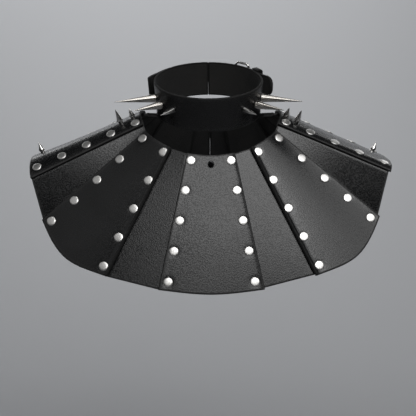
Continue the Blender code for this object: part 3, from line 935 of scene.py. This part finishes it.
# Neck collar: a band of the darker strap leather round the neck, leaning forward, a little wider
# at its upper edge, and slit at the nape.
COLLAR_CENTRE = Vector((-0.002, 0.0, 0.0195))
COLLAR_LEAN = math.radians(12.5)
COLLAR_RADIUS = 0.0580
COLLAR_FLARE = 0.0013
COLLAR_HEIGHT = 0.038
COLLAR_SLIT = math.radians(0.2)
COLLAR_WAVE = 0.0004
BAND_EDGE_ROUNDING = 0.0011
BAND_GRID = (190, 20)
collar_place = Matrix.Translation(COLLAR_CENTRE) @ Matrix.Rotation(COLLAR_LEAN, 4, "X")


def ring_point(angle, radius, height):
    return Vector((radius * math.sin(angle), -radius * math.cos(angle), height))


def band_radius(height):
    return COLLAR_RADIUS + COLLAR_FLARE * height / (COLLAR_HEIGHT / 2)


def band_place(u, v):
    sweep = 2 * math.pi - COLLAR_SLIT
    angle = (u - 0.5) * sweep
    height = (0.5 - v) * COLLAR_HEIGHT
    point = ring_point(angle, band_radius(height), height)
    wave = COLLAR_WAVE * noise.noise(point * WAVES_PER_METRE)
    point = ring_point(angle, band_radius(height) + wave, height)
    from_end = min(u, 1 - u) * sweep * COLLAR_RADIUS
    return collar_place @ point, min(from_end, v * COLLAR_HEIGHT, (1 - v) * COLLAR_HEIGHT)


band = leather_sheet(
    "collar_band_leather", band_place, *BAND_GRID, -1, BAND_EDGE_ROUNDING, strap_leather
)
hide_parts("collar_band")

# Collar strap: it lies on the outside of the band round the nape and closes it. Both of its ends
# stand off the band, and the tip is cut round.
STRAP_WIDTH = 0.022
STRAP_START = math.radians(-100)
STRAP_MEETS_BAND = math.radians(-122)
STRAP_LEAVES_BAND = math.radians(-245)
STRAP_END = math.radians(-264)
STRAP_RISE = 0.0060
START_LIFT = 0.004
END_LIFT = 0.008
STRAP_TIP = math.radians(9)
STRAP_TIP_FLAT = 0.04
STRAP_CLEARANCE = 0.0015
STRAP_GRID = (120, 14)
COLLAR_BUCKLE_ANGLE = math.radians(-216)


def strap_lift(angle):
    """How far the strap's inner side is from the band."""
    stand_off = 0.0
    if angle > STRAP_MEETS_BAND:
        share = (angle - STRAP_MEETS_BAND) / (STRAP_START - STRAP_MEETS_BAND)
        stand_off = START_LIFT * math.sin(share * math.pi / 2) ** 2
    if angle < STRAP_LEAVES_BAND:
        share = (angle - STRAP_LEAVES_BAND) / (STRAP_END - STRAP_LEAVES_BAND)
        stand_off = END_LIFT * math.sin(share * math.pi / 2) ** 2
    return STRAP_CLEARANCE + stand_off


def strap_place(u, v):
    angle = STRAP_END + (STRAP_START - STRAP_END) * u
    into_tip = max(0.0, 1 - (angle - STRAP_END) / STRAP_TIP)
    half = STRAP_WIDTH / 2 * math.sqrt(max(1 - into_tip ** 2, STRAP_TIP_FLAT))
    height = STRAP_RISE + (1 - 2 * v) * half
    point = ring_point(angle, band_radius(height) + strap_lift(angle), height)
    from_end = min(u, 1 - u) * (STRAP_START - STRAP_END) * COLLAR_RADIUS
    return collar_place @ point, min(from_end, half * (1 - abs(1 - 2 * v)))


strap = leather_sheet(
    "collar_strap_leather", strap_place, *STRAP_GRID, 1, STRAP_EDGE_ROUNDING, strap_leather
)
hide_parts("collar_strap")


def radial_frame(angle, radius, height):
    """A frame on the collar that faces away from the neck."""
    out = ring_point(angle, 1.0, 0.0)
    return collar_place @ frame_on(
        ring_point(angle, radius, height), out, Vector((-out.y, out.x, 0.0))
    )


strap_outside = COLLAR_RADIUS + COLLAR_FLARE + STRAP_CLEARANCE + LEATHER + LAYER_GAP
buckle_seat = radial_frame(COLLAR_BUCKLE_ANGLE, strap_outside, STRAP_RISE)
wire_buckle("collar_buckle", STRAP_WIDTH, buckle_seat)

# Keeper: a narrow leather loop that holds the strap's free end to the band. Its two bends are
# round, and its cut edges burnished, their dark colour partly painted shade.
KEEPER_ANGLE = math.radians(-239)
KEEPER_WIDTH = 0.010
KEEPER_LEATHER = 0.002
KEEPER_BEND = 0.003
KEEPER_BEND_STEPS = 5
KEEPER_EDGE_ROUNDING = 0.0005
KEEPER_EDGE_STEPS = 2

bpy.ops.object.select_all(action="DESELECT")
keeper_height = STRAP_CLEARANCE + LEATHER + STRAP_CLEARANCE + KEEPER_LEATHER
keeper_across = STRAP_WIDTH + 2 * BUCKLE_SIDE_ROOM + 2 * KEEPER_LEATHER
bpy.ops.mesh.primitive_cube_add(size=1, location=(0, 0, keeper_height / 2))
keeper = bpy.context.object
keeper.scale = (KEEPER_WIDTH, keeper_across, keeper_height)
bpy.ops.object.transform_apply(location=True, scale=True)
bpy.ops.object.mode_set(mode="EDIT")
bpy.ops.mesh.select_mode(type="FACE")
bpy.ops.mesh.select_all(action="DESELECT")
bpy.ops.object.mode_set(mode="OBJECT")
for face in keeper.data.polygons:
    face.select = abs(face.normal.x) > 0.5 or face.normal.z < -0.5
bpy.ops.object.mode_set(mode="EDIT")
bpy.ops.mesh.delete(type="FACE")
bpy.ops.mesh.select_mode(type="EDGE")
bpy.ops.mesh.select_all(action="DESELECT")
bpy.ops.object.mode_set(mode="OBJECT")
for edge in keeper.data.edges:
    ends = [keeper.data.vertices[i].co for i in edge.vertices]
    edge.select = all(end.z > keeper_height / 2 for end in ends) and ends[0].y == ends[1].y
bpy.ops.object.mode_set(mode="EDIT")
bpy.ops.mesh.bevel(offset=KEEPER_BEND, segments=KEEPER_BEND_STEPS)
bpy.ops.mesh.select_mode(type="VERT")
bpy.ops.object.mode_set(mode="OBJECT")
for finish in strap_leather:
    keeper.data.materials.append(finish)
thicken(keeper, KEEPER_LEATHER, -1, KEEPER_EDGE_ROUNDING, KEEPER_EDGE_STEPS)
keeper_seat = COLLAR_RADIUS + COLLAR_FLARE + LAYER_GAP
keeper.data.transform(radial_frame(KEEPER_ANGLE, keeper_seat, STRAP_RISE))
keeper.name = "collar_keeper_leather"
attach(keeper, "root")
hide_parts("collar_keeper")

# Collar spikes: turned cones screwed to the band, shortest in front and longest at the sides,
# with a small rounding where the cone meets its base. The two longer pairs get a darker copy of
# the same nickel: painted shade and painted dark reflections.
CollarSpike = namedtuple("CollarSpike", "name angle rise length radius")
COLLAR_SPIKES = (
    CollarSpike("front", math.radians(40), 0.0015, 0.019, 0.0037),
    CollarSpike("middle", math.radians(59.5), 0.0015, 0.033, 0.0047),
    CollarSpike("rear", math.radians(75.5), 0.0035, 0.0455, 0.0047),
)
COLLAR_SPIKE_SIDES = 40
BASE_ROUNDING = 0.0006
BASE_CORNER = 0.3
ABOVE_BASE = 0.985
CONE_SHAPE = (
    Ring(0.52, 0.5),
    Ring(0.12, 0.93),
    Ring(0.05, 0.985),
    Ring(0.02, 1.0),
)
# Painted shade: the collar spikes' nickel darkened for the longer pairs, standing in for dark
# reflections.
PAINTED_SHADE_NICKEL_COLOUR = (0.46, 0.44, 0.41)
PAINTED_SHADE_NICKEL_TARNISH = (0.28, 0.26, 0.24)
SPIKE_NICKEL_ROUGHNESS = 0.22
shaded_spike_nickel = nickel_material(
    "spike_nickel_plate", PAINTED_SHADE_NICKEL_COLOUR, PAINTED_SHADE_NICKEL_TARNISH, SPIKE_NICKEL_ROUGHNESS
)
for size in COLLAR_SPIKES:
    profile = [
        Ring(size.radius - BASE_ROUNDING, 0.0),
        Ring(size.radius - BASE_ROUNDING * BASE_CORNER, BASE_ROUNDING * BASE_CORNER),
        Ring(size.radius, BASE_ROUNDING),
        Ring(size.radius * ABOVE_BASE, BASE_ROUNDING * 2),
        *sized_profile(CONE_SHAPE, size.radius, size.length),
    ]
    # The front pair keep the plain nickel; the longer pairs get the copy darkened with painted
    # shade.
    finish = polished_nickel if size.name == "front" else shaded_spike_nickel
    model = turned("spike_model", COLLAR_SPIKE_SIDES, profile, finish)
    for side in (1, -1):
        seat = band_radius(size.rise) + LAYER_GAP / 2
        place = radial_frame(side * size.angle, seat, size.rise)
        piece = set_copies(f"collar_spike_{size.name}_{side_name(side)}_metal", model, [place])
        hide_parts(f"collar_spike_{size.name}_{side_name(side)}")
    bpy.data.objects.remove(model)

# Backdrop: a floor of grey studio paper that curves up into the wall behind, well below the
# gorget, which is shown as worn.
FLOOR_HEIGHT = -0.60
BACKDROP_AWAY = 1.6
BACKDROP_SIZE = 14.0
BACKDROP_CURVE = 0.9
BACKDROP_CURVE_STEPS = 24
BACKDROP_COLOUR = (0.265, 0.27, 0.28)
BACKDROP_ROUGHNESS = 0.9

bpy.ops.object.select_all(action="DESELECT")
floor_middle = (0, BACKDROP_AWAY - BACKDROP_SIZE / 2, FLOOR_HEIGHT)
bpy.ops.mesh.primitive_plane_add(size=BACKDROP_SIZE, location=floor_middle)
backdrop = bpy.context.object
bpy.ops.object.transform_apply(location=True)
for corner in backdrop.data.vertices:
    corner.select = corner.co.y > floor_middle[1]
for edge in backdrop.data.edges:
    edge.select = all(backdrop.data.vertices[i].co.y > floor_middle[1] for i in edge.vertices)
for face in backdrop.data.polygons:
    face.select = False
bpy.ops.object.mode_set(mode="EDIT")
bpy.ops.mesh.select_mode(type="EDGE")
bpy.ops.mesh.extrude_region_move(TRANSFORM_OT_translate={"value": (0, 0, BACKDROP_SIZE / 2)})
bpy.ops.object.mode_set(mode="OBJECT")
sweep = backdrop.modifiers.new("sweep", "BEVEL")
sweep.width = BACKDROP_CURVE
sweep.segments = BACKDROP_CURVE_STEPS
sweep.limit_method = "ANGLE"
bpy.ops.object.modifier_apply(modifier=sweep.name)
bpy.ops.object.shade_smooth()
backdrop.name = "studio_backdrop"
paper = bpy.data.materials.new("backdrop_paper")
paper.use_nodes = True
paper_shader = paper.node_tree.nodes["Principled BSDF"]
paper_shader.inputs["Base Color"].default_value = (*BACKDROP_COLOUR, 1.0)
paper_shader.inputs["Roughness"].default_value = BACKDROP_ROUGHNESS
backdrop.data.materials.append(paper)

# Lights: soft windows from the front and the right, and weaker ones all round, all turned to the
# gorget. Azimuth runs from straight ahead to the right of the picture, elevation from level. The
# backdrop has one of its own, out of the picture.
LIGHT_TARGET = Vector((0.0, 0.0, -0.06))
SoftLight = namedtuple("SoftLight", "name azimuth elevation away width height power")
SOFT_LIGHTS = (
    SoftLight("front_window", 9.5, 40.4, 1.8, 1.06, 1.00, 12.0),
    SoftLight("right_window", 43.5, 40.4, 1.8, 1.10, 1.00, 6.2),
    SoftLight("left_fill", -54, 37, 1.8, 1.50, 1.20, 1.5),
    SoftLight("overhead", 0, 80, 1.6, 0.90, 0.40, 4.0),
    SoftLight("right_side", 110, 25, 1.8, 0.80, 0.60, 0.4),
    SoftLight("left_side", -105, 25, 1.8, 0.80, 0.60, 0.9),
    SoftLight("left_behind", -138, 20, 1.8, 0.90, 0.60, 2.2),
    SoftLight("right_behind", 138, 20, 1.8, 0.90, 0.60, 2.2),
    SoftLight("straight_behind", 180, 24, 1.35, 0.70, 0.30, 0.6),
)


def aimed_light(name, place, aim, width, height, power):
    bpy.ops.object.light_add(type="AREA", location=place)
    lamp = bpy.context.object
    lamp.name = name
    lamp.data.shape = "RECTANGLE"
    lamp.data.size = width
    lamp.data.size_y = height
    lamp.data.energy = power
    lamp.rotation_euler = (aim - place).to_track_quat("-Z", "Y").to_euler()


for light in SOFT_LIGHTS:
    azimuth = math.radians(light.azimuth)
    elevation = math.radians(light.elevation)
    way = Vector((
        math.cos(elevation) * math.sin(azimuth),
        -math.cos(elevation) * math.cos(azimuth),
        math.sin(elevation),
    ))
    place = LIGHT_TARGET + way * light.away
    aimed_light(light.name, place, LIGHT_TARGET, light.width, light.height, light.power)

BACKDROP_LIGHT_PLACE = Vector((-0.18, 1.18, 0.76))
BACKDROP_LIGHT_AIM = Vector((-0.08, 1.6, 0.08))
BACKDROP_LIGHT_WIDTH = 1.8
BACKDROP_LIGHT_HEIGHT = 0.3
BACKDROP_LIGHT_POWER = 20.5
aimed_light(
    "backdrop_light", BACKDROP_LIGHT_PLACE, BACKDROP_LIGHT_AIM,
    BACKDROP_LIGHT_WIDTH, BACKDROP_LIGHT_HEIGHT, BACKDROP_LIGHT_POWER,
)

ROOM_LIGHT = (0.50, 0.51, 0.53, 1.0)
ROOM_STRENGTH = 0.05
room = bpy.data.worlds.new("room")
bpy.context.scene.world = room
room.use_nodes = True
room.node_tree.nodes["Background"].inputs["Color"].default_value = ROOM_LIGHT
room.node_tree.nodes["Background"].inputs["Strength"].default_value = ROOM_STRENGTH
bpy.context.scene.view_settings.view_transform = "Standard"
